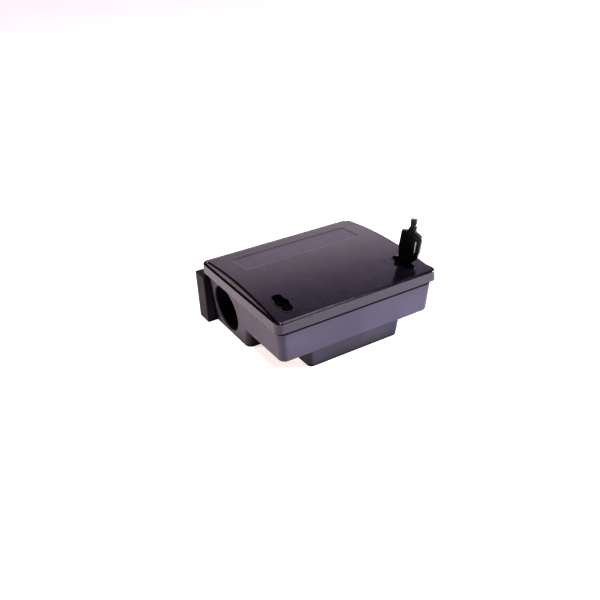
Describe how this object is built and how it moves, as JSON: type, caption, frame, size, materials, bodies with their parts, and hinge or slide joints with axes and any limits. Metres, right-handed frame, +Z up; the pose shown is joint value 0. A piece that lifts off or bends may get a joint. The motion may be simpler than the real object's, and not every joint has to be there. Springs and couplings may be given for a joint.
{
  "type": "rodent bait station",
  "caption": "Low black plastic rodent bait station with an arched hinged lid, keyed corner locks, a round-holed cross tunnel, guide wings, a lift-out tray and bait rods.",
  "frame": {"origin": "On the ground, under the middle of the overall plan (the lid's front to the rear ledge's back, and side to side).", "axes": "+X to the right seen from the front, +Y to the hinge side, +Z up."},
  "size_m": [0.2436, 0.216, 0.1513],
  "materials": {
    "base_plastic": "satin moulded black polypropylene",
    "lid_plastic": "glossy moulded black plastic with faint flow marks",
    "lock_plastic": "moulded black nylon",
    "key_plastic": "moulded black nylon, semi gloss",
    "tray_plastic": "satin moulded black polypropylene",
    "steel": "plain zinc-plated steel",
    "bait": "dyed wax block with grain in it"
  },
  "bodies": {
    "base": {"base": "base_plastic", "hinge_pin_left": "steel", "hinge_pin_right": "steel", "lock_keeper_left": "lock_plastic", "lock_keeper_right": "lock_plastic", "tunnel_baffle": "tray_plastic"},
    "lid": {"lid": "lid_plastic"},
    "lock_left": {"lock_barrel_left": "lock_plastic", "lock_clip_left": "steel", "lock_tongue_left": "steel", "lock_screw_left": "steel"},
    "lock_right": {"lock_barrel_right": "lock_plastic", "lock_clip_right": "steel", "lock_tongue_right": "steel", "lock_screw_right": "steel"},
    "key": {"key": "key_plastic"},
    "bait_tray": {"bait_tray": "tray_plastic"},
    "rod_front": {"bait_rod_front": "steel", "bait_block_front_left": "bait", "bait_block_front_right": "bait"},
    "rod_rear": {"bait_rod_rear": "steel", "bait_block_rear_left": "bait", "bait_block_rear_right": "bait"}
  },
  "joints": [
    {"name": "lid_hinge", "type": "hinge", "parent": "base", "child": "lid", "pos_m": [0, 0.1018, 0.075], "axis": [-1, 0, 0], "range_deg": [0, 105]},
    {"name": "lock_left_turn", "type": "hinge", "parent": "lid", "child": "lock_left", "pos_m": [-0.0898, -0.072, 0.0665], "axis": [0, 0, -1], "range_deg": [0, 90]},
    {"name": "lock_right_turn", "type": "hinge", "parent": "lid", "child": "lock_right", "pos_m": [0.0898, -0.072, 0.0665], "axis": [0, 0, 1], "range_deg": [0, 90]},
    {"name": "key_pull", "type": "slide", "parent": "lock_right", "child": "key", "axis": [0, 0, 1], "range_m": [0, 0.03]},
    {"name": "tray_lift", "type": "slide", "parent": "base", "child": "bait_tray", "axis": [0, 0, 1], "range_m": [0, 0.011]},
    {"name": "rod_front_lift", "type": "slide", "parent": "base", "child": "rod_front", "axis": [0, 0, 1], "range_m": [0, 0.012]},
    {"name": "rod_rear_lift", "type": "slide", "parent": "base", "child": "rod_rear", "axis": [0, 0, 1], "range_m": [0, 0.012]}
  ]
}
